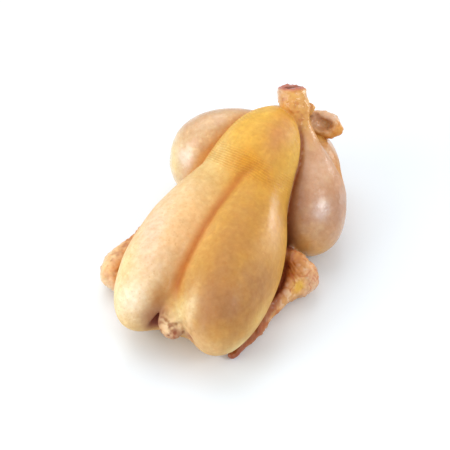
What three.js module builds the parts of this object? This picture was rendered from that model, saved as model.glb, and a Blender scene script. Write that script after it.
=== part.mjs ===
import * as THREE from "three";

// A whole raw chicken, plucked and drawn, lying on its back with its legs crossed over the vent.
// Millimetres. +X is to the viewer's right when the neck end faces the viewer, +Y runs from the
// neck to the tail, +Z is up, and the bird lies on the plane z = 0. Left and right are the viewer's.
//
// The bird is one closed skin. Its shape is a set of rounded muscles and bones, each given by its
// two ends and its half widths, drawn together with soft seams, as skin lies over flesh.

// Torso: rib cage, the two breast lobes with the keel between them, the belly dome over the keel's
// end, the pelvis, the crop skin at the neck, the neck stub with its flap of skin, and the tail.
const ribs = { from: [-1, -94, 30], to: [-1, 50, 38], width: 49, depth: 38, taper: 0.12 };
const breastRight = { from: [30.5, -110, 26.5], to: [17, 32, 67], width: 27.5, depth: 32, taper: 0.26 };
const breastLeft = { from: [-31, -110, 27.5], to: [-15.5, 30, 66], width: 24.5, depth: 32, taper: 0.25 };
const belly = { from: [4, 12, 61], to: [9, 99, 68], width: 28, depth: 32, taper: 0.22 };
const pelvis = { from: [0, 10, 32], to: [0, 104, 34], width: 44, depth: 36 };
const crop = { from: [0, -98, 30], to: [0, -30, 62], width: 15, depth: 15 };
const keel = { from: [4, -82, 36], to: [3, 42, 78], width: 14, depth: 16 };
const neckStub = { from: [2, -98, 24], to: [-3, -62, 30], width: 11, depth: 11 };
const neckFlap = { from: [-2.5, -90, 44], to: [0.5, -107, 24], width: 11, depth: 7 };
const tail = { from: [0, 96, 34], to: [0, 130, 18], width: 17, depth: 10, taper: 0.25 };

// The furrow over the keel, as points from the neck end to the belly: Y, X and depth. Its right
// side is steeper than its left one, and it lies on the upper side only.
const furrow = [[-104, 0, 0], [-92, -2, 4.5], [-83, -3.5, 7], [-65, -2.5, 6], [-44, -1, 4.2],
  [-28, 1, 3.4], [-9, 3.5, 2.8], [5, 7, 2], [13, 12, 0.6], [18, 15, 0]];
const furrowReach = { left: 9, right: 4 };

// Legs: drumstick, shank and thigh of each, and the hock stub with the cut where the foot was. The
// right stub ends in a flat cut, and the left one, which crosses it, is hollow at its end.
const legRight = {
  drumstick: { from: [56.5, 18, 8], to: [31, 76, 66], width: 29, depth: 28, taper: 0.16 },
  shank: { from: [40, 52, 43], to: [23.5, 82, 76], fromRadius: 20, toRadius: 9 },
  thigh: { from: [54.5, 22, 26], to: [24.5, 113, 38], width: 23.5, depth: 33 },
};
const hockRight = {
  joints: [[22.4, 80.2, 77.5], [17.5, 86.6, 87], [11.6, 94.4, 98.4], [9.2, 97.5, 103]],
  radii: [9.8, 11.2, 10.4, 10.2],
};
const cutRight = { at: [11.6, 94.4, 98.6], facing: [-0.17, 0.41, 0.89] };
const legLeft = {
  drumstick: { from: [-60, 44, 31], to: [-4, 90, 63], width: 28, depth: 32.5, taper: 0.2 },
  shank: { from: [-30, 70, 48], to: [8, 101, 60], fromRadius: 20, toRadius: 9.5 },
  thigh: { from: [-56, 36, 32], to: [-16, 110, 32], width: 29, depth: 32 },
};
const hockLeft = { joints: [[8, 101, 60], [39.2, 101.3, 65], [45, 99.5, 66]], radii: [9.5, 9.8, 6.5] };
const hollowLeft = { from: [29.6, 93.4, 71.6], to: [46.6, 95.4, 69.2], width: 7.5, depth: 6 };

// Wings: shoulder to elbow, elbow to wrist, and wrist to tip, tucked along the breast, with the
// web of skin that ties each to the flank.
const wingRight = {
  upper: { joints: [[52.5, -7, 24], [57, -9, 21], [60, -9, 14]], radii: [9.5, 10.5, 12] },
  fore: { joints: [[60, -9, 13], [46, -37, 11.5]], radii: [12, 9.6] },
  hand: { joints: [[46, -36, 9], [46, -62, 6.5], [38.5, -88, 4.5]], radii: [7.5, 6.2, 4.5] },
  web: { from: [45, -60, 12], to: [52, -6, 16], width: 7, depth: 8 },
};
const wingLeft = {
  upper: { joints: [[-42, -40, 30], [-50, -20, 20], [-54, -9, 14]], radii: [15, 13, 12] },
  fore: { joints: [[-55, -12, 14], [-66.5, -46, 12.5], [-66, -56, 12]], radii: [11, 12, 11] },
  hand: { joints: [[-64, -53, 11], [-46, -72, 8], [-34, -82, 6]], radii: [9, 6.5, 5] },
  web: { from: [-47, -82, 11], to: [-52, -4, 18], width: 10, depth: 9 },
};

// The middle of the bird's footprint, which becomes the origin, and the facet size of the skin.
const middle = [-1.19, 9.55, 0];
const facet = 5;
const spanLow = [-90, -124, -8];
const spanHigh = [90, 146, 118];

const along = (a, b, t) => a.map((value, axis) => value + (b[axis] - value) * t);
const dot = (a, b) => a[0] * b[0] + a[1] * b[1] + a[2] * b[2];
const cross = (a, b) => [a[1] * b[2] - a[2] * b[1], a[2] * b[0] - a[0] * b[2], a[0] * b[1] - a[1] * b[0]];
const minus = (a, b) => [a[0] - b[0], a[1] - b[1], a[2] - b[2]];
const unit = (a) => a.map((value) => value / Math.hypot(...a));

// A muscle is an ellipsoid whose long axis joins its two ends. A positive taper slims the far end
// and swells the near one. The value is close to the distance from its surface, negative inside.
function muscle({ from, to, width, depth, taper = 0 }) {
  const centre = along(from, to, 0.5);
  const half = Math.hypot(...minus(to, from)) / 2;
  const long = unit(minus(to, from));
  const level = unit(cross(long, [0, 0, 1]));
  const upright = cross(level, long);
  return (p) => {
    const q = minus(p, centre);
    const y = dot(long, q);
    const slim = 1 - taper * Math.min(Math.max(y / half, -1.3), 1.3);
    const x = dot(level, q) / slim;
    const z = dot(upright, q) / slim;
    const ratio = Math.hypot(x / width, y / half, z / depth);
    const slope = Math.hypot(x / width ** 2, y / half ** 2, z / depth ** 2);
    return (ratio * (ratio - 1)) / Math.max(slope, 1e-6);
  };
}

// A bone is a sphere at each end and the cone that wraps both.
function bone({ from, to, fromRadius, toRadius }) {
  const axis = minus(to, from);
  const square = dot(axis, axis);
  const drop = fromRadius - toRadius;
  const side = square - drop * drop;
  return (p) => {
    const offset = minus(p, from);
    const y = dot(offset, axis);
    const z = y - square;
    const away = minus(offset.map((value) => value * square), axis.map((value) => value * y));
    const x2 = dot(away, away);
    const y2 = y * y * square;
    const z2 = z * z * square;
    const edge = Math.sign(drop) * drop * drop * x2;
    if (Math.sign(z) * side * z2 > edge) return Math.sqrt(x2 + z2) / square - toRadius;
    if (Math.sign(y) * side * y2 < edge) return Math.sqrt(x2 + y2) / square - fromRadius;
    return (Math.sqrt((x2 * side) / square) + y * drop) / square - fromRadius;
  };
}

// A limb is a chain of bones through its joints.
function limb({ joints, radii }) {
  const bones = joints.slice(1).map((joint, i) =>
    bone({ from: joints[i], to: joint, fromRadius: radii[i], toRadius: radii[i + 1] }));
  return (p) => Math.min(...bones.map((one) => one(p)));
}

// Two forms drawn together: the smaller distance, rounded off over a seam of the given width.
const blend = (a, b, seam) => (p) => {
  const near = a(p);
  const far = b(p);
  const share = Math.max(seam - Math.abs(near - far), 0) / seam;
  return Math.min(near, far) - (share * share * seam) / 4;
};

// One form cut out of another, with the cut's rim rounded off over the same kind of seam.
const carve = (a, b, seam) => {
  const joined = blend((p) => -a(p), b, seam);
  return (p) => -joined(p);
};

// The furrow's depth at a point: a bell across the furrow's line.
function furrowDepth([x, y, z]) {
  const next = furrow.findIndex((point) => point[0] >= y);
  if (next <= 0) return 0;
  const [before, after] = [furrow[next - 1], furrow[next]];
  const [, middleX, depth] = along(before, after, (y - before[0]) / (after[0] - before[0]));
  const across = x - middleX;
  const reach = across > 0 ? furrowReach.right : furrowReach.left;
  const upper = Math.min(Math.max((z - 36) / 12, 0), 1);
  return depth * Math.exp(-((across / reach) ** 2)) * upper;
}

// The right hock stub ends in a flat cut with a softly rounded rim, the left one in a hollow.
function rightStub() {
  const out = unit(cutRight.facing);
  return carve(limb(hockRight), (p) => -dot(out, minus(p, cutRight.at)), 3);
}

const leftStub = () => carve(limb(hockLeft), muscle(hollowLeft), 2);

function leg({ drumstick, shank, thigh }) {
  return blend(blend(muscle(drumstick), bone(shank), 10), muscle(thigh), 10);
}

function wing({ upper, fore, hand, web }) {
  return blend(blend(blend(limb(upper), limb(fore), 6), limb(hand), 4), muscle(web), 6);
}

function torso() {
  const breast = blend(blend(muscle(breastLeft), muscle(breastRight), 10), muscle(keel), 10);
  const trunk = blend(blend(muscle(ribs), breast, 18), muscle(pelvis), 20);
  const whole = blend(blend(trunk, muscle(belly), 24), muscle(tail), 12);
  return (p) => whole(p) + furrowDepth(p);
}

function bird() {
  const seams = [
    [blend(muscle(neckStub), muscle(crop), 12), 8],
    [muscle(neckFlap), 2.5],
    [leg(legRight), 1.5],
    [leg(legLeft), 2],
    [wing(wingRight), 2.5],
    [wing(wingLeft), 2.5],
    [rightStub(), 2],
    [leftStub(), 2],
  ];
  const whole = seams.reduce((body, [form, seam]) => blend(body, form, seam), torso());
  return (p) => Math.max(whole(p), -p[2]);
}

// The skin is a net of four-sided facets. Space is cut into cubes, each cube that the surface
// crosses gets one vertex, and each cube edge that it crosses gets one facet between four vertices.
function skin(form) {
  const counts = spanLow.map((low, axis) => Math.ceil((spanHigh[axis] - low) / facet) + 1);
  const at = (i, j, k) => (i * counts[1] + j) * counts[2] + k;
  const corner = (i, j, k) => [spanLow[0] + i * facet, spanLow[1] + j * facet, spanLow[2] + k * facet];
  const values = new Float64Array(counts[0] * counts[1] * counts[2]);
  for (let i = 0; i < counts[0]; i++)
    for (let j = 0; j < counts[1]; j++)
      for (let k = 0; k < counts[2]; k++) values[at(i, j, k)] = form(corner(i, j, k));
  closePinches(values, counts, at);

  const vertices = [];
  const vertexOf = new Map();
  const ends = [0, 1];
  const cubeEdges = [];
  for (const u of ends)
    for (const v of ends) {
      cubeEdges.push([[0, u, v], [1, u, v]], [[u, 0, v], [u, 1, v]], [[u, v, 0], [u, v, 1]]);
    }
  for (let i = 0; i < counts[0] - 1; i++)
    for (let j = 0; j < counts[1] - 1; j++)
      for (let k = 0; k < counts[2] - 1; k++) {
        const sum = [0, 0, 0];
        let crossings = 0;
        for (const [a, b] of cubeEdges) {
          const first = values[at(i + a[0], j + a[1], k + a[2])];
          const second = values[at(i + b[0], j + b[1], k + b[2])];
          if (first < 0 === second < 0) continue;
          const point = along(a, b, first / (first - second));
          for (const axis of [0, 1, 2]) sum[axis] += point[axis];
          crossings += 1;
        }
        if (crossings === 0) continue;
        const inCube = sum.map((value) => value / crossings);
        vertexOf.set(at(i, j, k), vertices.length);
        vertices.push(settle(form, corner(i + inCube[0], j + inCube[1], k + inCube[2])));
      }

  const triangles = [];
  for (let axis = 0; axis < 3; axis++) {
    const u = (axis + 1) % 3;
    const v = (axis + 2) % 3;
    for (let i = 1; i < counts[0] - 1; i++)
      for (let j = 1; j < counts[1] - 1; j++)
        for (let k = 1; k < counts[2] - 1; k++) {
          const here = [i, j, k];
          const next = [...here];
          next[axis] += 1;
          const inside = values[at(...here)] < 0;
          if (inside === values[at(...next)] < 0) continue;
          const ring = [[-1, -1], [0, -1], [0, 0], [-1, 0]].map(([du, dv]) => {
            const cube = [...here];
            cube[u] += du;
            cube[v] += dv;
            return vertexOf.get(at(...cube));
          });
          if (!inside) ring.reverse();
          triangles.push(...splitFacet(form, vertices, ring));
        }
  }
  return { vertices, triangles };
}

// Where two sheets of skin come within a facet of each other the net would pinch, so the gap is
// filled: a square of grid points that alternate between inside and outside gets its nearer outside
// point filled, and so does a cube of which only two opposite corners are inside, or outside.
function closePinches(values, counts, at) {
  const filled = -0.01;
  const squares = [[[0, 0, 0], [0, 1, 0], [0, 1, 1], [0, 0, 1]],
    [[0, 0, 0], [0, 0, 1], [1, 0, 1], [1, 0, 0]], [[0, 0, 0], [1, 0, 0], [1, 1, 0], [0, 1, 0]]];
  const cube = [0, 1, 2, 3, 4, 5, 6, 7].map((n) => [n & 1, (n >> 1) & 1, n >> 2]);
  const fillNearest = (points) => {
    const outside = points.filter((point) => values[point] >= 0);
    values[outside.reduce((a, b) => (values[a] < values[b] ? a : b))] = filled;
  };
  let pinched = true;
  while (pinched) {
    pinched = false;
    for (let i = 0; i < counts[0] - 1; i++)
      for (let j = 0; j < counts[1] - 1; j++)
        for (let k = 0; k < counts[2] - 1; k++) {
          const point = ([x, y, z]) => at(i + x, j + y, k + z);
          const inside = (n) => values[n] < 0;
          for (const square of squares) {
            const [a, b, c, d] = square.map(point);
            if (inside(a) !== inside(c) || inside(b) !== inside(d) || inside(a) === inside(b)) continue;
            fillNearest([a, b, c, d]);
            pinched = true;
          }
          const corners = cube.map(point);
          const alike = (wanted) => corners.map((n, place) => (inside(n) === wanted ? place : -1))
            .filter((place) => place >= 0);
          for (const wanted of [true, false]) {
            const pair = alike(wanted);
            if (pair.length !== 2 || pair[0] + pair[1] !== 7) continue;
            fillNearest(corners);
            pinched = true;
          }
        }
  }
}

// A vertex slides along the form's slope until it lies on the surface.
function settle(form, start) {
  const step = 0.4;
  let point = start;
  for (let turn = 0; turn < 4; turn++) {
    const value = form(point);
    const slope = [0, 1, 2].map((axis) => {
      const ahead = [...point];
      const behind = [...point];
      ahead[axis] += step;
      behind[axis] -= step;
      return (form(ahead) - form(behind)) / (2 * step);
    });
    const move = Math.min(Math.max(value / Math.max(dot(slope, slope), 0.05), -2), 2);
    point = point.map((coordinate, axis) => coordinate - move * slope[axis]);
  }
  return [point[0], point[1], Math.max(point[2], 0)];
}

// A facet is cut along the diagonal whose middle lies closer to the surface.
function splitFacet(form, vertices, [a, b, c, d]) {
  const firstGap = Math.abs(form(along(vertices[a], vertices[c], 0.5)));
  const secondGap = Math.abs(form(along(vertices[b], vertices[d], 0.5)));
  return firstGap <= secondGap ? [a, b, c, a, c, d] : [a, b, d, b, c, d];
}

const { vertices, triangles } = skin(bird());
const geometry = new THREE.BufferGeometry();
const positions = vertices.flatMap((vertex) => minus(vertex, middle));
geometry.setAttribute("position", new THREE.Float32BufferAttribute(positions, 3));
geometry.setIndex(triangles);
geometry.computeVertexNormals();

const skinMaterial = new THREE.MeshStandardMaterial({ color: 0xe3b070, roughness: 0.42, metalness: 0 });
const chicken = new THREE.Mesh(geometry, skinMaterial);
chicken.name = "chicken";

const group = new THREE.Group();
group.add(chicken);
export default group;
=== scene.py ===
import bpy
import numpy as np
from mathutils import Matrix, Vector


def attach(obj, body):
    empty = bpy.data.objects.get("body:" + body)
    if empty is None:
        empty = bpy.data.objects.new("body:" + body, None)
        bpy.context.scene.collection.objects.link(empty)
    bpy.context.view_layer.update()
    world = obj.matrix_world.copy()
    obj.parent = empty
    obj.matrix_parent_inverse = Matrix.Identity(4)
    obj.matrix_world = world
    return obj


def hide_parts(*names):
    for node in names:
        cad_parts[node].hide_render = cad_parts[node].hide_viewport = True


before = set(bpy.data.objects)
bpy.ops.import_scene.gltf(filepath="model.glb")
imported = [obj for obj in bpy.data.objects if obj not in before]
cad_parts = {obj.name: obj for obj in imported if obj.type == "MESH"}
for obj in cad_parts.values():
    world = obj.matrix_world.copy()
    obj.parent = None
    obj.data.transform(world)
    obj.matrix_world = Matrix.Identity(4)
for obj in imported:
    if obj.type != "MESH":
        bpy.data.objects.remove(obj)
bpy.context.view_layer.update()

# The trunk: rib cage and pelvis under two thick breast muscles, with the keel bone between them
# and the soft belly behind. Each muscle is given in millimetres by its two ends and its half
# widths, +Y running from neck to tail, and soft seams draw them together as skin lies over flesh.
ribs = dict(start=(-1, -94, 30), end=(-1, 50, 38), width=49, depth=38, taper=0.12)
breast_right = dict(start=(30.5, -110, 26.5), end=(17, 32, 67), width=27.5, depth=32, taper=0.26)
breast_left = dict(start=(-31, -110, 27.5), end=(-15.5, 30, 66), width=24.5, depth=32, taper=0.25)
belly = dict(start=(4, 12, 61), end=(9, 99, 68), width=28, depth=32, taper=0.22)
pelvis = dict(start=(0, 10, 32), end=(0, 104, 34), width=44, depth=36)
keel = dict(start=(4, -82, 36), end=(3, 42, 78), width=14, depth=16)
tail = dict(start=(0, 96, 34), end=(0, 130, 18), width=17, depth=10, taper=0.25)
furrow_y = (-104, -92, -83, -65, -44, -28, -9, 5, 13, 18)
furrow_x = (0, -2, -3.5, -2.5, -1, 1, 3.5, 7, 12, 15)
furrow_depth = (0, 4.5, 7, 6, 4.2, 3.4, 2.8, 2.0, 0.6, 0)
furrow_right_width, furrow_left_width = 4.0, 9.0
furrow_foot, furrow_rise = 36, 12


def column(point):
    """A point as a column that adds to or multiplies a 3 by N array of points."""
    return np.asarray(point, np.float32).reshape(3, 1)


def along(direction, points):
    """How far each point reaches along a direction: their dot product."""
    return np.asarray(direction, np.float32) @ points


def hump(value, width):
    """1 where the value is zero, fading to both sides as a bell curve of the given width."""
    return np.exp(-((value / width) ** 2))


def muscle(points, start, end, width, depth, taper=0.0):
    """Near distance from an ellipsoid whose long axis joins start and end, negative inside.

    With the point's coordinates divided by the half sizes, k0 is its length, and with them divided
    by the squared half sizes, k1 is. The distance is k0 (k0 - 1) / k1. A taper slims the far end.
    """
    start, end = np.array(start, float), np.array(end, float)
    half = np.linalg.norm(end - start) / 2
    lengthwise = (end - start) / (2 * half)
    level = np.cross(lengthwise, (0, 0, 1))
    level /= np.linalg.norm(level)
    upright = np.cross(level, lengthwise)
    offset = points - column((start + end) / 2)
    y = along(lengthwise, offset)
    slim = 1 - taper * np.clip(y / half, -1.3, 1.3)
    x = along(level, offset) / slim
    z = along(upright, offset) / slim
    k0 = np.sqrt((x / width) ** 2 + (y / half) ** 2 + (z / depth) ** 2)
    k1 = np.sqrt((x / width**2) ** 2 + (y / half**2) ** 2 + (z / depth**2) ** 2)
    return k0 * (k0 - 1) / np.maximum(k1, 1e-6)


def join(a, b, seam):
    """Two forms drawn together: the lesser distance, less a rounding that fades over the seam."""
    share = np.maximum(seam - np.abs(a - b), 0) / seam
    return np.minimum(a, b) - share * share * seam / 4


def cut_away(a, b, seam):
    """Form a without form b, with the rim rounded off over the seam."""
    return -join(-a, b, seam)


def tuck(a, b, seam, depth, width):
    """Two forms joined, with a crease of the given depth pressed in where they are equally near.

    The crease is a bell over the difference of the two distances, so it follows their meeting line.
    """
    return join(a, b, seam) + depth * hump(a - b, width)


def bell(points, centre, radii):
    """A soft patch: 1 at its centre, fading outwards as a bell curve whose widths are the radii."""
    return np.exp(-(((points - column(centre)) / column(radii)) ** 2).sum(0))


def furrow(points):
    """Depth of the groove over the keel: a bell across a line that wanders with Y, steep on the
    right and gentle on the left, on the upper side only."""
    across = points[0] - np.interp(points[1], furrow_y, furrow_x)
    width = np.where(across > 0, furrow_right_width, furrow_left_width)
    upper = np.clip((points[2] - furrow_foot) / furrow_rise, 0, 1)
    return np.interp(points[1], furrow_y, furrow_depth) * hump(across, width) * upper


def torso(points):
    """Rib cage, breast lobes with the keel between them, pelvis and belly drawn together."""
    lobes = join(muscle(points, **breast_left), muscle(points, **breast_right), 10)
    breast = join(lobes, muscle(points, **keel), 10)
    trunk = join(join(muscle(points, **ribs), breast, 18), muscle(points, **pelvis), 20)
    trunk = join(trunk, muscle(points, **belly), 24)
    return join(trunk, muscle(points, **tail), 12) + furrow(points)


# The legs: drumstick and thigh pressed against the belly, with the shank bone running up to the
# hock, where each foot has been cut off. The right hock stands up behind the belly, and the left
# one crosses behind it and shows its hollow cut end, with a rolled rim of skin and a knob of fat.
leg_right = dict(
    drumstick=dict(start=(56.5, 18, 8), end=(31, 76, 66), width=29, depth=28, taper=0.16),
    shank=dict(start=(40, 52, 43), end=(23.5, 82, 76), start_radius=20, end_radius=9.0),
    thigh=dict(start=(54.5, 22, 26), end=(24.5, 113, 38), width=23.5, depth=33),
    crease=1.0,
)
leg_left = dict(
    drumstick=dict(start=(-60, 44, 31), end=(-4, 90, 63), width=28, depth=32.5, taper=0.2),
    shank=dict(start=(-30, 70, 48), end=(8, 101, 60), start_radius=20, end_radius=9.5),
    thigh=dict(start=(-56, 36, 32), end=(-16, 110, 32), width=29, depth=32),
    crease=0.2,
)
hock_right = dict(
    joints=[(22.4, 80.2, 77.5), (17.5, 86.6, 87), (11.6, 94.4, 98.4), (9.2, 97.5, 103)],
    radii=[9.8, 11.2, 10.4, 10.2],
)
cut_right = dict(at=(11.6, 94.4, 98.6), facing=(-0.17, 0.41, 0.89))
cut_fold = dict(start=(9.5, 88, 97.5), end=(14.5, 97, 100.5), start_radius=2.0, end_radius=3.0)
fat_knob = dict(start=(27.2, 93.5, 84), end=(25.5, 94, 79), start_radius=3.6, end_radius=4)
hock_left = dict(joints=[(8, 101, 60), (39.2, 101.3, 65.0)], radii=[9.5, 9.8])
hollow_left = dict(start=(29.6, 93.4, 71.6), end=(46.6, 95.4, 69.2), width=7.5, depth=6)
rim_left = dict(
    joints=[(27.5, 98.8, 75.4), (31.6, 100.6, 75.4), (36.8, 101.6, 74.4),
            (41.4, 102.2, 73.2), (46, 101, 70.2), (49.6, 99, 66.6)],
    radii=[2.2, 2.0, 2.6, 2.0, 2.3, 2.6],
)
knob_left = dict(
    joints=[(48.6, 98.4, 65.4), (44.6, 96.2, 62.2), (38.6, 94.4, 61)],
    radii=[4.0, 3.2, 2.8],
)


def bone(points, start, end, start_radius, end_radius):
    """Distance from two spheres and the cone that wraps both, negative inside.

    The nearest of the three is found from the height y along the axis and the distance x from it:
    beyond the cone's ends the distance is that of a sphere, and between them that of its side.
    """
    start, end = np.array(start, float), np.array(end, float)
    axis = end - start
    square = axis @ axis
    drop = start_radius - end_radius
    side = square - drop * drop
    offset = points - column(start)
    y = along(axis, offset)
    z = y - square
    x2 = ((offset * np.float32(square) - column(axis) * y) ** 2).sum(0)
    y2, z2 = y * y * square, z * z * square
    edge = np.sign(drop) * drop * drop * x2
    distance = (np.sqrt(x2 * side / square) + y * drop) / square - start_radius
    near_start = np.sqrt(x2 + y2) / square - start_radius
    near_end = np.sqrt(x2 + z2) / square - end_radius
    distance = np.where(np.sign(y) * side * y2 < edge, near_start, distance)
    return np.where(np.sign(z) * side * z2 > edge, near_end, distance)


def limb(points, joints, radii):
    """Bones one after another through the joints: the least of their distances."""
    pairs = zip(joints[:-1], joints[1:], radii[:-1], radii[1:])
    return np.minimum.reduce([bone(points, *pair) for pair in pairs])


def beyond(points, at, facing):
    """Distance behind a flat cut through a point: negative on the side that the cut faces."""
    facing = np.array(facing, float) / np.linalg.norm(facing)
    return -along(facing, points - column(at))


def leg(points, drumstick, shank, thigh, crease):
    """Drumstick and shank drawn together, and the thigh behind, with a crease between them that
    fades out downwards."""
    calf = join(muscle(points, **drumstick), bone(points, **shank), 10)
    pressed = crease * np.clip((points[2] - 40) / 12, 0, 1)
    return tuck(calf, muscle(points, **thigh), 10 - 6 * pressed, 1.6 * pressed, 3)


def right_hock(points):
    """The standing stub: a flaring bone with a flat cut, folded in at the middle of the cut."""
    stub = cut_away(limb(points, **hock_right), beyond(points, **cut_right), 3)
    stub = cut_away(stub, bone(points, **cut_fold), 2)
    return join(stub, bone(points, **fat_knob), 2)


def left_hock(points):
    """The crossing stub: its cut end is hollowed out, and the skin rolls over the hollow's rim."""
    stub = cut_away(limb(points, **hock_left), muscle(points, **hollow_left), 2)
    return join(join(stub, limb(points, **rim_left), 2.5), limb(points, **knob_left), 2)


# The wings: folded and tucked along the breast, elbow out. Each is an upper arm, a forearm bent
# back from the elbow and a slim hand, with the web of skin that fills the bend. The right arm
# stands off the breast by a narrow gap, the armpit, and a gusset of skin ties it to the thigh.
wing_right = dict(
    upper=dict(joints=[(52.5, -7, 24), (57, -9, 21), (60, -9, 14)], radii=[9.5, 10.5, 12]),
    fore=dict(joints=[(60, -9, 13), (46, -37, 11.5)], radii=[12, 9.6]),
    hand=dict(joints=[(46, -36, 9), (46, -62, 6.5), (38.5, -88, 4.2)], radii=[7.2, 5.6, 3.6]),
    web=dict(start=(45, -60, 12), end=(52, -6, 16), width=7, depth=8),
)
wing_left = dict(
    upper=dict(joints=[(-42, -40, 30), (-50, -20, 20), (-54, -9, 14)], radii=[15, 13, 12]),
    fore=dict(joints=[(-55, -12, 14), (-66.5, -46, 12.5), (-66, -56, 12)], radii=[11, 12, 11]),
    hand=dict(joints=[(-64, -53, 11), (-46, -72, 8), (-34, -82, 6)], radii=[9, 6.5, 5]),
    web=dict(start=(-47, -82, 11), end=(-52, -4, 18), width=10, depth=9),
)
armpit = dict(
    joints=[(49.5, -17, 28), (50, -26, 24), (50, -34, 21.5), (48.5, -42, 20.5), (46.5, -49, 19)],
    radii=[3.6, 4.4, 4.2, 2.8, 1.2],
)
gusset = dict(start=(46, -6, 25), end=(43, 10, 13), start_radius=7, end_radius=7)


def wing(points, upper, fore, hand, web):
    """Upper arm, forearm and hand, with the web of skin that ties them to the flank."""
    arm = join(limb(points, **upper), limb(points, **fore), 6)
    return join(join(arm, limb(points, **hand), 4), muscle(points, **web), 6)


# The neck end: the neck is cut off short inside, and a flap of loose skin hangs over it between
# the breast lobes, gathered into small rumples, with a dark hollow on its left and a small notch
# in its lower edge on the right.
neck_stub = dict(start=(2, -98, 24), end=(-3, -62, 30), width=11, depth=11)
crop = dict(start=(0, -98, 30), end=(0, -30, 62), width=15, depth=15)
flap = dict(start=(-2.5, -90, 44), end=(0.5, -107, 24), width=11, depth=7)
hollow = dict(start=(-12.5, -113, 14), end=(-10.5, -96, 34), start_radius=7.5, end_radius=4.2)
notch = dict(start=(4.5, -108, 32), end=(13, -105.5, 28), start_radius=1.4, end_radius=2.4)


def neck(points):
    """Neck stub and crop, with the flap of skin over them."""
    return join(muscle(points, **neck_stub), muscle(points, **crop), 12)


# The skin over it all: the whole bird's surface is where the joined distance is zero, flat where
# it rests on its back. It is laid as a net of small facets, finer where the skin is rumpled, and
# finest along a slanting band between breast and belly that is drawn into fine wrinkles.
space_low, space_high, cell_size = (-84, -120, -4), (84, 138, 112), 1.78
wrinkle_direction = (0.18, 0.74, 0.64)
wrinkle_middle, wrinkle_reach, wrinkle_foot = 67, 9, 46
wrinkle_least = 0.15
wing_margin, hock_margin, patch_edge = 1.2, 2.2, 0.4


def bird(points):
    """All parts drawn together, with creases where legs and wings press against the trunk."""
    whole = join(torso(points), neck(points), seam=8)
    whole = tuck(whole, muscle(points, **flap), seam=2.5, depth=0.8, width=2)
    whole = cut_away(whole, bone(points, **hollow), seam=3)
    whole = cut_away(whole, bone(points, **notch), seam=3)
    whole = tuck(whole, leg(points, **leg_right), seam=1.5, depth=2.0, width=2.5)
    whole = tuck(whole, leg(points, **leg_left), seam=2, depth=1.2, width=4)
    whole = tuck(whole, wing(points, **wing_right), seam=2.5, depth=1.2, width=4)
    whole = tuck(whole, wing(points, **wing_left), seam=2.5, depth=1.4, width=5)
    whole = cut_away(whole, limb(points, **armpit), seam=2.5)
    whole = join(whole, bone(points, **gusset), seam=3)
    whole = tuck(whole, right_hock(points), seam=2, depth=0.6, width=3)
    whole = tuck(whole, left_hock(points), seam=2, depth=0.6, width=3)
    return np.maximum(whole, -points[2])


def net_over(form, low, high, cell):
    """Vertices and four-sided facets of the surface where the form is zero.

    Space is cut into cubes. A cube that the surface crosses gets one vertex, at the mean of the
    points where the surface cuts its edges, and each grid edge that it cuts gets one facet
    between the vertices of the four cubes round it.
    """
    low = np.array(low, float)
    counts = np.ceil((np.array(high) - low) / cell).astype(int) + 1
    axes = [low[i] + cell * np.arange(counts[i]) for i in range(3)]
    grid = np.stack(np.meshgrid(*axes, indexing="ij")).astype(np.float32)
    values = form(grid.reshape(3, -1)).reshape(counts)
    inside = values < 0

    def corner(array, offset):
        return array[tuple(slice(offset[i], counts[i] - 1 + offset[i]) for i in range(3))]

    offsets = [(i, j, k) for i in (0, 1) for j in (0, 1) for k in (0, 1)]
    filled = sum(corner(inside, offset).astype(int) for offset in offsets)
    crossed = (filled > 0) & (filled < 8)
    total = np.zeros(crossed.shape + (3,))
    cuts = np.zeros(crossed.shape)
    for axis in range(3):
        for near in (offset for offset in offsets if offset[axis] == 0):
            far = tuple(1 if i == axis else near[i] for i in range(3))
            a, b = corner(values, near), corner(values, far)
            cut = (a < 0) != (b < 0)
            share = np.where(cut, a / np.where(cut, a - b, 1), 0)
            place = np.broadcast_to(np.array(near, float), total.shape).copy()
            place[..., axis] += share
            total += place * cut[..., None]
            cuts += cut
    vertices = low + cell * (np.argwhere(crossed) + total[crossed] / cuts[crossed][:, None])
    number = np.full(crossed.shape, -1)
    number[crossed] = np.arange(len(vertices))

    facets = []
    for axis in range(3):
        u, v = (axis + 1) % 3, (axis + 2) % 3
        last = tuple(slice(0, counts[i] - (i == axis)) for i in range(3))
        following = tuple(slice(int(i == axis), counts[i]) for i in range(3))
        edges = np.argwhere(inside[last] != inside[following])
        ring = []
        for du, dv in ((-1, -1), (0, -1), (0, 0), (-1, 0)):
            cubes = edges.copy()
            cubes[:, u] += du
            cubes[:, v] += dv
            ring.append(number[tuple(cubes.T)])
        ring = np.stack(ring, 1)
        outward = inside[tuple(edges.T)]
        ring[~outward] = ring[~outward][:, ::-1]
        facets.append(ring)
    return vertices, np.concatenate(facets)


def slope(form, vertices, step=0.3):
    """The form's slope at each vertex: its rise over a short step along each axis."""
    points = vertices.T.astype(np.float32)
    rises = []
    for axis in range(3):
        shift = column(np.eye(3)[axis] * step)
        rises.append((form(points + shift) - form(points - shift)) / (2 * step))
    return np.stack(rises, 1)


def settle(form, vertices, times=2):
    """Vertices slid along the form's slope onto its surface, and none of them below the floor."""
    for _ in range(times):
        rise = slope(form, vertices)
        steep = np.maximum((rise**2).sum(1), 0.05)
        move = np.clip(form(vertices.T.astype(np.float32)) / steep, -1, 1)
        vertices = vertices - move[:, None] * rise
    vertices[:, 2] = np.maximum(vertices[:, 2], 0)
    return vertices


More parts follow.
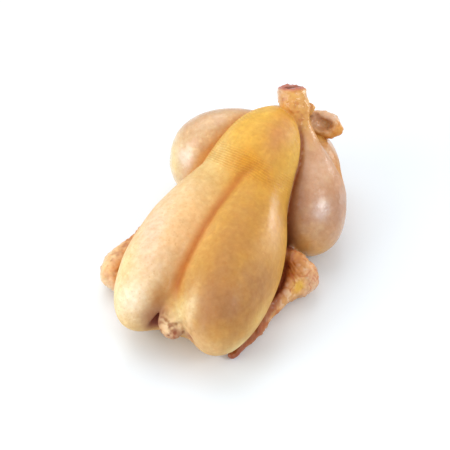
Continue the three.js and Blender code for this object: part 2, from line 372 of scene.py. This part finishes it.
def in_triangles(vertices, facets):
    """Each four-sided facet cut in two along its shorter diagonal."""
    a, b, c, d = facets.T
    from_a_to_c = np.linalg.norm(vertices[a] - vertices[c], axis=1)
    from_b_to_d = np.linalg.norm(vertices[b] - vertices[d], axis=1)
    shorter = (from_a_to_c < from_b_to_d)[:, None]
    split = np.where(shorter, np.c_[a, b, c, a, c, d], np.c_[a, b, d, b, c, d])
    return split.reshape(-1, 3)


def refined(vertices, triangles, wanted):
    """The net made finer: every side whose two ends are wanted is halved.

    A triangle with all three corners wanted becomes four, one with two becomes two.
    """
    sides = np.sort(triangles[:, [[0, 1], [1, 2], [2, 0]]].reshape(-1, 2), 1)
    keys, which = np.unique(sides[:, 0] * len(vertices) + sides[:, 1], return_inverse=True)
    a, b = keys // len(vertices), keys % len(vertices)
    halved = wanted[a] & wanted[b]
    number = np.full(len(keys), -1)
    number[halved] = len(vertices) + np.arange(halved.sum())
    halfway = number[which.reshape(-1, 3)]
    count = (halfway >= 0).sum(1)
    p, q, r = triangles[count == 3].T
    pq, qr, rp = halfway[count == 3].T
    four = np.c_[p, pq, rp, pq, q, qr, rp, qr, r, pq, qr, rp].reshape(-1, 3)
    single, cuts = triangles[count == 1], halfway[count == 1]
    turn = np.argmax(cuts >= 0, 1)
    rows = np.arange(len(single))
    p, q, r = (single[rows, (turn + step) % 3] for step in range(3))
    middle_of_side = cuts[rows, turn]
    two = np.c_[p, middle_of_side, r, middle_of_side, q, r].reshape(-1, 3)
    vertices = np.concatenate([vertices, ((vertices[a] + vertices[b]) / 2)[halved]])
    return vertices, np.concatenate([triangles[count == 0], four, two])


def rumpled(vertices):
    """Whether each vertex lies where the skin has fine relief: on or close to a wing or a hock, at
    the neck flap, or on the belly dome."""
    points = vertices.T.astype(np.float32)
    wing_distance = np.minimum(wing(points, **wing_right), wing(points, **wing_left))
    hock_distance = np.minimum(right_hock(points), left_hock(points))
    on_wing = (wing_distance < wing_margin) & (points[2] > 1)
    on_hock = hock_distance < hock_margin
    on_neck = bell(points, (6, -102, 38), (22, 20, 24)) > patch_edge
    on_dome = bell(points, (2, 46, 90), (46, 48, 32)) > patch_edge
    return on_wing | on_hock | on_neck | on_dome


def wrinkle_band(points):
    """How much the skin is drawn into fine wrinkles: a bell over the reach along their direction."""
    return hump(along(wrinkle_direction, points) - wrinkle_middle, wrinkle_reach)


skin_vertices, skin_facets = net_over(bird, space_low, space_high, cell_size)
skin_triangles = in_triangles(skin_vertices, skin_facets)
skin_vertices = settle(bird, skin_vertices)
skin_vertices, skin_triangles = refined(skin_vertices, skin_triangles, rumpled(skin_vertices))
wrinkled = (wrinkle_band(skin_vertices.T) > wrinkle_least) & (skin_vertices[:, 2] > wrinkle_foot)
skin_vertices, skin_triangles = refined(skin_vertices, skin_triangles, wrinkled)
skin_vertices = settle(bird, skin_vertices)
outwards = slope(bird, skin_vertices)
outwards /= np.maximum(np.linalg.norm(outwards, axis=1), 1e-6)[:, None]


# The skin's relief: soft unevenness all over, fine creases drawn across the saddle between the
# breast and the belly, and goose pimples where the feathers sat thickest, on wings and hocks.
lattice_size = 32
lattice = np.random.default_rng(7).uniform(-1, 1, (lattice_size,) * 3)


def lumps(points, size, shift=0):
    """Smooth random height from -1 to 1: random values on a lattice, joined by eased mixing.

    The size is the lattice's spacing, and the shift moves the points to another part of it.
    """
    scaled = points / size + shift
    base = np.floor(scaled).astype(int)
    part = scaled - base
    part = part * part * (3 - 2 * part)
    total = 0
    for corner in np.ndindex(2, 2, 2):
        weight = np.prod([part[n] if far else 1 - part[n] for n, far in enumerate(corner)], 0)
        cell = (base + np.reshape(corner, (3, 1))) % lattice_size
        total = total + weight * lattice[tuple(cell)]
    return total


def pimples(points, spacing, radius):
    """Goose pimples: a rounded bump round each point of a lattice, from 0 at the radius to 1.

    The points sit at the middle of their cells, jittered by up to 0.38 of the spacing. A bump is
    1 less the squared share of the radius, raised to the power 1.5.
    """
    scaled = points / spacing
    base = np.floor(scaled).astype(int)
    nearest = np.full(points.shape[1], np.inf)
    for corner in np.ndindex(3, 3, 3):
        cell = base + np.reshape(corner, (3, 1)) - 1
        wrapped = tuple(cell % lattice_size)
        jitter = [0.5 + 0.38 * np.roll(lattice, turn)[wrapped] for turn in (0, 5, 11)]
        away = np.sqrt(((cell + np.array(jitter) - scaled) ** 2).sum(0)) * spacing
        nearest = np.minimum(nearest, away)
    return np.clip(1 - (nearest / radius) ** 2, 0, 1) ** 1.5


def within(values, low, high):
    """Eased step from 0 at low to 1 at high."""
    part = np.clip((values - low) / (high - low), 0, 1)
    return part * part * (3 - 2 * part)


def folds(distance, spacing, points, wander=0.35):
    """Narrow folds side by side: rounded ridges with sharp valleys, whose lines wander a little.

    The height is the size of the sine of the distance, counted in spacings, to the power 0.7.
    """
    phase = distance / spacing + wander * (lumps(points, 14, 2) + 0.6 * lumps(points, 6, 4))
    return np.abs(np.sin(np.pi * phase)) ** 0.7


def close_to(distance, reach):
    """1 inside a form, and outside it the power of e to minus the distance over the reach."""
    return np.exp(-np.maximum(distance, 0) / reach)


def folded(direction, spacing, wander, mean):
    """Folds across a direction, as a height about zero: their mean height is taken off."""
    return folds(along(direction, points), spacing, points, wander) - mean


points = skin_vertices.T.astype(np.float32)
distance_of = dict(
    torso=torso(points),
    leg_right=leg(points, **leg_right),
    leg_left=leg(points, **leg_left),
    wing_right=wing(points, **wing_right),
    wing_left=wing(points, **wing_left),
    hock_right=right_hock(points),
    hock_left=left_hock(points),
)
blend_reach = 1.2
closeness = {name: close_to(distance, blend_reach) for name, distance in distance_of.items()}
closeness_sum = sum(closeness.values()) + 1e-6
share_of = {name: value / closeness_sum for name, value in closeness.items()}
wings = share_of["wing_right"] + share_of["wing_left"]
hocks = share_of["hock_right"] + share_of["hock_left"]
legs = share_of["leg_right"] + share_of["leg_left"]

relief = 0.5 * lumps(points, 24) + 0.2 * lumps(points, 9, 5)

# The wrinkles run across the saddle, and a second set along the left edge of the belly dome.
band = wrinkle_band(points) * within(points[2], wrinkle_foot, wrinkle_foot + 14)
strength = within(band, wrinkle_least, 0.7) * share_of["torso"] * within(lumps(points, 10, 6), -1.1, 0)
wrinkles = folds(along(wrinkle_direction, points), 1.8, points, 0.45)
relief = relief + strength * 0.5 * (wrinkles - 0.65)
dome_edge = bell(points, (-12, 64, 88), (14, 26, 16)) * share_of["torso"]
edge_wrinkles = folds(along((0.67, 0.65, 0.36), points), 2.4, points)
relief = relief + dome_edge * 0.5 * (edge_wrinkles - 0.65)

# The wings and hocks are the roughest, and the right arm and hand have folds of their own.
wing_skin = 0.5 * pimples(points, 3.6, 1.6) + 0.8 * lumps(points, 8, 9) + 0.7 * lumps(points, 3.5, 10)
hock_skin = 0.6 * pimples(points, 3.0, 1.4) + 0.35 * lumps(points, 5, 9) + 0.25 * lumps(points, 2.4, 10)
relief = relief + wings * wing_skin + hocks * hock_skin
arm = bell(points, (60, -16, 28), (14, 16, 16)) * share_of["wing_right"]
relief = relief + arm * 0.6 * folded((0.75, 0.25, 0.6), 2.8, 0.8, mean=0.6)
hand = bell(points, (44, -70, 8), (12, 26, 10)) * share_of["wing_right"]
relief = relief + hand * 0.7 * folded((0.96, 0.2, 0.2), 3.2, 0.9, mean=0.6)
relief = relief + legs * 0.16 * pimples(points, 5.0, 2.0)

# The tail has pimples and a shallow cleft above, and the neck flap is gathered into rumples.
on_tail = within(points[1], 112, 120) * share_of["torso"]
tail_skin = 0.4 * pimples(points, 3.6, 1.5) + 0.7 * lumps(points, 6, 12)
tail_cleft = 1.4 * hump(points[0], 2.6) * within(points[2], 16, 24)
relief = relief + on_tail * tail_skin - on_tail * tail_cleft
neck_rumples = bell(points, (2, -106, 34), (13, 12, 16))
relief = relief + neck_rumples * (1.0 * lumps(points, 4.5, 8) + 0.7 * lumps(points, 2.6, 3))

# Where the bird lies on its back, the skin is pressed flat, and the relief sets in above that.
pressed_height, free_height = 0.2, 5
relief = relief * within(points[2], pressed_height, free_height)
skin_vertices = skin_vertices + outwards * relief[:, None]
skin_vertices[:, 2] = np.maximum(skin_vertices[:, 2], 0)


# The colour of the breast, belly and back lies in the skin and the fat under it: cream and peach
# on the left lobe, tan on the right one and deep corn yellow over the belly. Orange brown shade is
# painted down in the furrow, brown shade round the neck hollow and a copper band of shade down the
# dome's right slope, with a whitish painted highlight on the left lobe's neck end. It is painted
# per point from named colours, each within its own soft bounds.
def srgb(red, green, blue):
    """A colour given in display numbers of 0 to 255, as linear light."""
    part = np.array([red, green, blue]) / 255
    return np.where(part <= 0.04045, part / 12.92, ((part + 0.055) / 1.055) ** 2.4)


def plain(colour):
    """One colour for every point."""
    return np.tile(colour, (points.shape[1], 1))


def painted(base, colour, weight):
    """The base colours mixed towards other ones by a weight from 0 to 1 for each point."""
    return base + (colour - base) * np.clip(weight, 0, 1)[:, None]


def patched(base, patches):
    """Soft patches with ragged edges, laid one over another: colour, centre, radii, strength."""
    ragged = 1.15 + 0.3 * lumps(points, 12, 3) + 0.2 * lumps(points, 5, 13)
    for colour, centre, radii, amount in patches:
        base = painted(base, colour, amount * np.minimum(bell(points, centre, radii) * ragged, 1))
    return base


cream = srgb(230, 204, 160)
lobe_end_highlight = srgb(250, 234, 212)
peach = srgb(234, 204, 184)
shell_pink = srgb(220, 184, 160)
straw = srgb(234, 204, 132)
butter = srgb(226, 194, 116)
pale_yellow = srgb(228, 208, 150)
maize = srgb(222, 174, 70)
corn_yellow = srgb(230, 180, 66)
honey = srgb(216, 172, 76)
amber = srgb(212, 146, 28)
golden_tan = srgb(206, 152, 56)
biscuit = srgb(216, 176, 122)
dome_band_shade = srgb(204, 140, 84)
tan = srgb(172, 118, 62)
greyish_tan = srgb(162, 112, 72)
umber = srgb(150, 100, 70)
apricot = srgb(222, 172, 112)
pale_apricot = srgb(236, 188, 128)
orange_brown = srgb(180, 102, 16)

paint = patched(plain(golden_tan), [
    (cream, (-27, -42, 64), (22, 50, 34), 1.0),
    (cream, (-34, -88, 50), (22, 30, 34), 1.0),
    (straw, (-54, -62, 36), (14, 50, 26), 0.9),
    (peach, (-27, -66, 72), (15, 32, 20), 0.8),
    # a whitish painted highlight on the left lobe's neck end
    (lobe_end_highlight, (-31, -103, 48), (13, 10, 13), 1.0),
    (corn_yellow, (4, 66, 90), (30, 40, 30), 1.0),
    (pale_yellow, (-18, 18, 84), (14, 22, 14), 0.5),
    (maize, (-6, 52, 94), (14, 34, 18), 0.7),
    (amber, (9, 15, 88), (12, 9, 14), 0.85),
    (amber, (28, 12, 78), (12, 10, 14), 0.5),
    # a copper band of painted shade down the dome's right slope
    (dome_band_shade, (19, 50, 93), (9, 24, 14), 0.85),
    (honey, (36, 44, 72), (7, 28, 16), 0.8),
    (tan, (26, -46, 76), (14, 36, 15), 0.6),
    (greyish_tan, (32, -90, 52), (24, 28, 28), 0.85),
    (greyish_tan, (46, -64, 52), (12, 30, 22), 0.7),
    (apricot, (44, -30, 68), (7, 24, 12), 0.6),
    (butter, (55, -80, 35), (4, 20, 8), 0.6),
    (pale_yellow, (46, -98, 22), (8, 14, 9), 0.8),
    (pale_apricot, (-14, -52, 75), (12, 34, 14), 0.7),
    # painted brown shade on the left lobe's flank round the neck hollow
    (tan, (-10, -97, 48), (8, 9, 12), 0.95),
    (umber, (-12, -102, 37), (9, 10, 8), 0.9),
    (pale_yellow, (-40, -88, 44), (12, 22, 26), 0.7),
    (shell_pink, (-46, -16, 58), (10, 26, 16), 0.5),
    (cream, (12, -98, 48), (5, 16, 14), 0.8),
    (biscuit, (26, -112, 30), (20, 10, 12), 0.9),
])
# Orange brown shade painted down in the furrow, along its deepest line.
across = points[0] - np.interp(points[1], furrow_y, furrow_x)
left_reach = np.interp(points[1], (-84, -60, 4), (5.5, 4, 5))
groove = hump(across, np.where(across > 0, 3, left_reach))
groove *= np.interp(points[1], (-98, -90, -20, 4, 18), (0, 1, 0.9, 0.8, 0))
paint = painted(paint, orange_brown, groove * within(points[2], 44, 54))
paint = patched(paint, [(pale_yellow, (4, -98, 44), (5, 9, 9), 0.8)])

# The colour of the legs and the tail: the dark meat shows through the thin skin of the drumsticks
# as pinkish mauve, with pale marbling and yellow fat low down, a painted highlight on each drumstick,
# and brown shade painted into the creases where the legs press on the belly.
sand = srgb(220, 186, 142)
pale_sand = srgb(216, 182, 142)
rosy_tan = srgb(208, 162, 124)
mauve = srgb(192, 144, 110)
dusky_mauve = srgb(172, 122, 88)
left_leg_highlight = srgb(242, 228, 218)
right_leg_highlight = srgb(216, 196, 194)
pale_gold = srgb(224, 176, 98)
pale_ochre = srgb(222, 172, 96)
ochre = srgb(196, 132, 52)
yolk_yellow = srgb(222, 160, 44)
fat_yellow = srgb(210, 160, 88)
warm_apricot = srgb(226, 172, 112)
left_crease_shade = srgb(216, 152, 76)
crease_shade_brown = srgb(156, 108, 82)
shade_brown = srgb(126, 72, 34)
crease_shade_rust = srgb(156, 78, 14)


def marbled(coarse, fine, fine_share, shift, low, high):
    """Ragged marbling from 0 to 1: lumps of two sizes added up, then eased from low to high."""
    height = lumps(points, coarse, shift) + fine_share * lumps(points, fine, shift + 1)
    return within(height, low, high)


left_leg = painted(plain(sand), rosy_tan, 0.6 * marbled(10, 4, 0.5, 46, 0, 0.8))
left_leg = patched(left_leg, [
    (pale_yellow, (-66, 45, 36), (16, 44, 26), 0.9),
    (mauve, (-44, 66, 69), (14, 13, 12), 0.6),
    (mauve, (-26, 84, 70), (18, 12, 12), 0.5),
    (mauve, (-52, 54, 66), (12, 12, 10), 0.5),
    # a painted highlight on the left drumstick
    (left_leg_highlight, (-50, 35, 57), (7, 7, 8), 0.7),
    (pale_gold, (-62, 74, 20), (22, 30, 14), 0.8),
    (pale_ochre, (-30, 112, 34), (22, 14, 24), 0.7),
])
paint = painted(paint, left_leg, share_of["leg_left"])
right_leg = painted(plain(mauve), pale_sand, 0.55 * marbled(8, 3.6, 0.6, 44, 0, 0.8))
right_leg = patched(right_leg, [
    (warm_apricot, (36, 76, 78), (12, 13, 14), 0.6),
    (shell_pink, (52, 50, 66), (9, 20, 12), 0.5),
    (fat_yellow, (60, 8, 15), (30, 26, 20), 1.0),
    (dusky_mauve, (72, 44, 46), (8, 24, 20), 0.8),
    # a painted highlight on the right drumstick
    (right_leg_highlight, (62, 27, 50), (7, 9, 8), 0.6),
    (ochre, (62, 82, 44), (18, 22, 22), 1.0),
    (yolk_yellow, (34, 96, 60), (14, 12, 16), 0.8),
])
paint = painted(paint, right_leg, share_of["leg_right"])
paint = patched(paint, [
    (apricot, (0, 126, 20), (20, 14, 14), 0.8),
    (mauve, (0, 130, 14), (12, 8, 10), 0.5),
])
# Painted shade in the creases: brown, wider low down, darkest along the right leg's seam and on its side
# that faces the belly, and caramel to orange brown on the left.
into_right_leg = distance_of["torso"] - distance_of["leg_right"]
low_down = within(points[1], 60, 20)
crease_width = 2 + 5 * low_down
paint = painted(paint, crease_shade_brown, 0.9 * hump(into_right_leg - 2 * low_down, crease_width))
shaded_leg_side = within(into_right_leg, 11, 1) * within(points[1], 26, 6) * share_of["leg_right"]
paint = painted(paint, shade_brown, 0.8 * shaded_leg_side)
paint = painted(paint, crease_shade_rust, 0.85 * hump(into_right_leg - 0.5, 1.5))
into_left_leg = distance_of["torso"] - distance_of["leg_left"]
paint = painted(paint, left_crease_shade, 0.7 * hump(into_left_leg - 1, 4.5))
paint = painted(paint, orange_brown, 0.7 * hump(into_left_leg, 1.4))

# The colour of the wings: rough, blotchy skin in orange tan and cream, with fine red veins on the right
# wing and a red brown hand, and brown shade painted where the arms lie close to the breast and by
# the right armpit gap.
wing_tan = srgb(216, 162, 100)
wing_brown = srgb(186, 112, 40)
wing_cream = srgb(236, 206, 176)
wing_orange = srgb(208, 136, 66)
wing_straw = srgb(230, 184, 122)
edge_cream = srgb(238, 206, 160)
tip_cream = srgb(238, 214, 182)
speckle_brown = srgb(168, 92, 44)
armpit_gap_shade = srgb(160, 78, 44)
vein_red = srgb(184, 94, 50)
hand_red = srgb(138, 48, 20)
tip_red = srgb(150, 66, 40)
right_shade = srgb(136, 64, 24)
left_shade = srgb(164, 76, 18)

right_wing = painted(plain(wing_tan), wing_brown, 0.75 * marbled(3.6, 1.9, 0.7, 52, 0, 0.7))
right_wing = painted(right_wing, wing_cream, 0.7 * marbled(2.8, 1.6, 0.6, 54, 0.2, 0.8))
right_wing = patched(right_wing, [
    (orange_brown, (54, -16, 26), (10, 15, 9), 0.9),
    (shell_pink, (68, -12, 12), (7, 10, 11), 0.8),
    (corn_yellow, (64, -24, 20), (4, 5, 5), 0.9),
    (hand_red, (46, -70, 10), (8, 26, 8), 0.9),
    (tip_red, (39, -88, 5), (8, 13, 7), 0.9),
    # painted shade by the armpit gap
    (armpit_gap_shade, (50, -44, 18), (6, 12, 6), 0.6),
])
veins = within(np.abs(lumps(points, 7, 31) + 0.5 * lumps(points, 3, 32)), 0.16, 0)
right_wing = painted(right_wing, vein_red, 0.7 * veins)
# Painted shade on the right arm's side that lies close to the breast.
into_right_wing = distance_of["torso"] - distance_of["wing_right"]
right_wing = painted(right_wing, right_shade, 0.9 * within(into_right_wing, 9, 1))
paint = painted(paint, right_wing, share_of["wing_right"])
left_wing = painted(plain(wing_orange), wing_straw, 0.8 * marbled(3, 1.8, 0.6, 35, 0.1, 0.7))
outer_edge = within(points[0] + 4 * lumps(points, 7, 37), -60, -76)
left_wing = painted(left_wing, edge_cream, 0.85 * outer_edge)
left_wing = painted(left_wing, speckle_brown, 0.5 * marbled(4.2, 2.1, 0.7, 33, 0.1, 0.7))
# Painted shade on the left arm's side that lies close to the breast.
into_left_wing = distance_of["torso"] - distance_of["wing_left"]
left_wing = painted(left_wing, left_shade, 0.85 * within(into_left_wing, 8, 1))
left_wing = patched(left_wing, [(tip_cream, (-66, -70, 8), (10, 12, 9), 0.7)])
paint = painted(paint, left_wing, share_of["wing_left"])

# The colour of the hocks: golden skin drawn back from the cut. The right one has a whitish side and
# a raw red cut face, and the left one greyish gristle in its hollow and orange fat round the rim.
hock_gold = srgb(218, 164, 88)
hock_brown = srgb(184, 104, 40)
gristle_white = srgb(226, 210, 198)
gristle_grey = srgb(196, 168, 164)
fat_orange = srgb(214, 142, 36)
fat_brown = srgb(190, 104, 26)
shank_brown = srgb(192, 112, 50)
raw_red = srgb(188, 100, 76)
dark_red = srgb(116, 46, 26)

hock_paint = painted(plain(hock_gold), hock_brown, 0.6 * within(lumps(points, 2.6, 41), 0.1, 0.7))
hock_paint = patched(hock_paint, [
    (gristle_white, (3, 88, 94), (7, 7, 10), 1.0),
    (shell_pink, (36, 101, 74.5), (16, 5, 4), 1.0),
    (gristle_grey, (38, 95, 69.5), (8, 5, 4.5), 1.0),
    (fat_orange, (50, 98, 65), (5, 5, 6), 0.9),
    (fat_brown, (42, 95, 59), (9, 5, 4), 0.9),
    (shank_brown, (20, 82, 82), (9, 9, 8), 0.6),
])
hock_paint = painted(hock_paint, raw_red, 0.95 * hump(beyond(points, **cut_right), 1.2))
hock_paint = painted(hock_paint, dark_red, close_to(bone(points, **cut_fold), 1.4))
paint = painted(paint, hock_paint, hocks)

# The colour of the neck end and the painted shade of the deep places: a cream flap with brownish
# spots; red brown shade painted round and in the hollow, under the flap, in the notch, in the armpit
# and where the gusset meets the thigh; and amber shade painted down in the wrinkles. Small pale
# flecks and a slight unevenness lie over the whole skin.
flap_cream = srgb(238, 210, 174)
spot_brown = srgb(142, 92, 72)
hollow_shade_red = srgb(134, 58, 34)
notch_shade_red = srgb(146, 68, 42)
armpit_shade_red = srgb(142, 66, 34)
under_flap_shade = srgb(156, 92, 62)
wrinkle_shade = amber * 0.8
fleck_lift = np.array([1.08, 1.12, 1.12])

spotted = within(lumps(points, 3.4, 8) + 0.8 * lumps(points, 1.9, 3), 0.1, -0.6)
neck_paint = painted(plain(flap_cream), spot_brown, spotted * within(points[2], 46, 38))
paint = painted(paint, neck_paint, 0.9 * bell(points, (1, -107, 31), (12, 10, 13)))
# Painted shade: brown round the hollow, and red brown in the hollow, under the flap, in the notch and in
# the armpit.
paint = painted(paint, greyish_tan, 0.7 * bell(points, (-15, -104, 34), (7, 8, 9)))
paint = painted(paint, hollow_shade_red, close_to(bone(points, **hollow), 1.6))
paint = painted(paint, under_flap_shade, 0.7 * bell(points, (4, -109, 26), (9, 7, 4)))
paint = painted(paint, notch_shade_red, close_to(bone(points, **notch), 1.6))
paint = painted(paint, armpit_shade_red, 0.9 * close_to(limb(points, **armpit), 1.6))
# Amber shade painted down in the wrinkle valleys.
paint = painted(paint, wrinkle_shade, 0.55 * strength * within(wrinkles, 0.75, 0.3))
paint = painted(paint, wrinkle_shade, 0.4 * dome_edge * within(edge_wrinkles, 0.7, 0.3))
paint = painted(paint, paint * fleck_lift, within(lumps(points, 2.4, 51), 0.3, 0.8))
# Dark red shade painted where the gusset of skin meets the thigh.
paint = painted(paint, dark_red, 0.8 * close_to(bone(points, **gusset), 1.5))
uneven = 1 + 0.05 * lumps(points, 6, 15) + 0.04 * lumps(points, 2.5, 16)
paint = np.clip(paint * uneven[:, None], 0, 1)

# The skin as one piece: moist, a little translucent, wettest on the drumsticks and in a streak on
# the right lobe, mottled and pricked with pores. It covers the whole solid, whose origin is the
# middle of the bird's footprint, here in the bird's own millimetres.
middle = np.array([-1.19, 9.55, 0.0])
dry_thigh = bell(points, (62, 82, 44), (18, 26, 22))
dry_knee = bell(points, (62, 52, 60), (14, 20, 14))
wet_streak = bell(points, (42, -18, 64), (8, 30, 16))
wet_shoulder = bell(points, (-42, -92, 40), (16, 18, 18))
pore_brown = srgb(190, 116, 50)
pale_tint, deep_tint = (1.04, 1.04, 1.0, 1), (0.95, 0.86, 0.72, 1)

moisture = 0.12 + legs * (0.9 - 0.85 * dry_thigh) + 0.45 * hocks + 0.25 * wings
moisture += 0.6 * wet_streak + 0.35 * wet_shoulder - 0.6 * dry_knee
moisture = np.clip(moisture * (0.85 + 0.5 * lumps(points, 9, 21)), 0, 1)

skin_mesh = bpy.data.meshes.new("chicken_skin")
skin_mesh.from_pydata(((skin_vertices - middle) / 1000).tolist(), [], skin_triangles.tolist())
skin_mesh.update()
colour_layer = skin_mesh.color_attributes.new("skin_colour", "FLOAT_COLOR", "POINT")
colour_layer.data.foreach_set("color", np.c_[paint, np.ones(len(paint))].ravel())
moisture_layer = skin_mesh.attributes.new("moisture", "FLOAT", "POINT")
moisture_layer.data.foreach_set("value", moisture.astype(np.float32))
skin_mesh.shade_smooth()
skin = bpy.data.objects.new("chicken_skin", skin_mesh)
bpy.context.collection.objects.link(skin)

skin_material = bpy.data.materials.new("moist_skin")
skin_material.use_nodes = True
skin_nodes, skin_links = skin_material.node_tree.nodes, skin_material.node_tree.links
skin_nodes.clear()


def with_inputs(node, values):
    """The node, with each named input set to its value."""
    for name, value in values.items():
        node.inputs[name].default_value = value
    return node


def skin_attribute(name):
    """A node that reads one of the skin's own attributes."""
    reader = skin_nodes.new("ShaderNodeAttribute")
    reader.attribute_name = name
    return reader


def colour_mix(values, blend_type="MIX"):
    """A node that mixes colour A with colour B by a factor."""
    mixer = skin_nodes.new("ShaderNodeMix")
    mixer.data_type = "RGBA"
    mixer.blend_type = blend_type
    return with_inputs(mixer, values)


output = skin_nodes.new("ShaderNodeOutputMaterial")
surface = with_inputs(skin_nodes.new("ShaderNodeBsdfPrincipled"), {
    "IOR": 1.4,
    "Coat Roughness": 0.16,
    "Subsurface Weight": 0.15,
    "Subsurface Radius": (1.0, 0.45, 0.22),
    "Subsurface Scale": 0.0015,
})
wet_film = skin_attribute("moisture")
dullness = with_inputs(skin_nodes.new("ShaderNodeMapRange"), {"To Min": 0.62, "To Max": 0.38})
painted_skin = skin_attribute("skin_colour")
on_skin = skin_nodes.new("ShaderNodeTexCoord")
centred = skin_nodes.new("ShaderNodeMapping")
mottle = with_inputs(skin_nodes.new("ShaderNodeTexNoise"), {"Scale": 260, "Detail": 4, "Roughness": 0.6})
mottle_range = with_inputs(skin_nodes.new("ShaderNodeMapRange"), {"From Min": 0.35, "From Max": 0.68})
tint = colour_mix({"A": pale_tint, "B": deep_tint})
mottled = colour_mix({"Factor": 1}, "MULTIPLY")
pores = with_inputs(skin_nodes.new("ShaderNodeTexVoronoi"), {"Scale": 420})
pit_range = {"From Min": 0.12, "From Max": 0.3, "To Min": 0.2, "To Max": 0}
pit = with_inputs(skin_nodes.new("ShaderNodeMapRange"), pit_range)
specked = colour_mix({"B": (*pore_brown, 1)})
bump = with_inputs(skin_nodes.new("ShaderNodeBump"), {"Strength": 0.5, "Distance": 0.0006})
for source, source_name, target, target_name in (
    (surface, "BSDF", output, "Surface"),
    (wet_film, "Fac", surface, "Coat Weight"),
    (wet_film, "Fac", dullness, "Value"),
    (dullness, "Result", surface, "Roughness"),
    (on_skin, "Object", centred, "Vector"),
    (centred, "Vector", mottle, "Vector"),
    (mottle, "Fac", mottle_range, "Value"),
    (mottle_range, "Result", tint, "Factor"),
    (painted_skin, "Color", mottled, "A"),
    (tint, "Result", mottled, "B"),
    (centred, "Vector", pores, "Vector"),
    (pores, "Distance", pit, "Value"),
    (pit, "Result", specked, "Factor"),
    (mottled, "Result", specked, "A"),
    (specked, "Result", surface, "Base Color"),
    (mottle, "Fac", bump, "Height"),
    (bump, "Normal", surface, "Normal"),
    (bump, "Normal", surface, "Coat Normal"),
):
    skin_links.new(source.outputs[source_name], target.inputs[target_name])
skin_mesh.materials.append(skin_material)

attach(skin, "root")
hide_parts("chicken")

# A plain white studio sweep under the bird, of painted board with a satin face that gives back a
# faint reflection.
sweep_reach = 3
sweep_white = (0.84, 0.9, 0.95, 1)
sweep_corners = [(x * sweep_reach, y * sweep_reach, 0) for x, y in ((-1, -1), (1, -1), (1, 1), (-1, 1))]
sweep_mesh = bpy.data.meshes.new("studio_floor")
sweep_mesh.from_pydata(sweep_corners, [], [(0, 1, 2, 3)])
floor = bpy.data.objects.new("studio_floor", sweep_mesh)
bpy.context.collection.objects.link(floor)
floor_material = bpy.data.materials.new("white_sweep")
floor_material.use_nodes = True
floor_surface = floor_material.node_tree.nodes["Principled BSDF"]
floor_surface.inputs["Base Color"].default_value = sweep_white
floor_surface.inputs["Roughness"].default_value = 0.3
sweep_mesh.materials.append(floor_material)

# Soft studio light, all of it turned to the bird's middle: the key box in front on the left, a low
# weak one beside it, a broad box above and behind on the left, one above on the right and a low
# one behind on the right. A white room fills the shadows.
lit_point = Vector((0, 0, 0.04))
room_strength = 0.66
for name, place, size, watts in (
    ("key_box", (-0.85, -0.85, 0.8), 0.8, 7),
    ("front_box", (-0.8, -0.98, 0.2), 0.5, 3),
    ("top_box", (-0.55, 0.55, 1.2), 1.4, 8),
    ("side_box", (1.06, -0.18, 0.82), 0.5, 5),
    ("rear_box", (0.65, 0.95, 0.18), 0.3, 2),
):
    lamp = bpy.data.lights.new(name, "AREA")
    lamp.shape = "SQUARE"
    lamp.size = size
    lamp.energy = watts
    light = bpy.data.objects.new(name, lamp)
    light.location = place
    light.rotation_euler = (lit_point - Vector(place)).to_track_quat("-Z", "Y").to_euler()
    bpy.context.collection.objects.link(light)
room = bpy.data.worlds.new("white_room")
room.use_nodes = True
room.node_tree.nodes["Background"].inputs["Color"].default_value = (1, 1, 1, 1)
room.node_tree.nodes["Background"].inputs["Strength"].default_value = room_strength
bpy.context.scene.world = room
bpy.context.scene.view_settings.view_transform = "Standard"

# The photograph's viewpoint: a little to the right of the neck end, looking down at forty-four
# degrees from just under a metre through a long lens. The aim lies a hair left of and above the
# point 35 mm up over the bird's own zero, as the photograph is framed.
azimuth, elevation, reach = np.radians(22.2), np.radians(43.8), 0.95
focal_length = 104.1
aim_height, aim_left, aim_up = 0.035, 0.00255, 0.00073
level = np.cos(elevation)
back = Vector((np.sin(azimuth) * level, -np.cos(azimuth) * level, np.sin(elevation)))
sideways = Vector((np.cos(azimuth), np.sin(azimuth), 0))
upright = back.cross(sideways)
over_zero = Vector((-middle[0] / 1000, -middle[1] / 1000, aim_height))
aim = over_zero - sideways * aim_left + upright * aim_up
lens = bpy.data.cameras.new("camera")
lens.lens = focal_length
camera = bpy.data.objects.new("camera", lens)
camera.location = aim + back * reach
camera.rotation_euler = back.to_track_quat("Z", "Y").to_euler()
bpy.context.collection.objects.link(camera)
bpy.context.scene.camera = camera
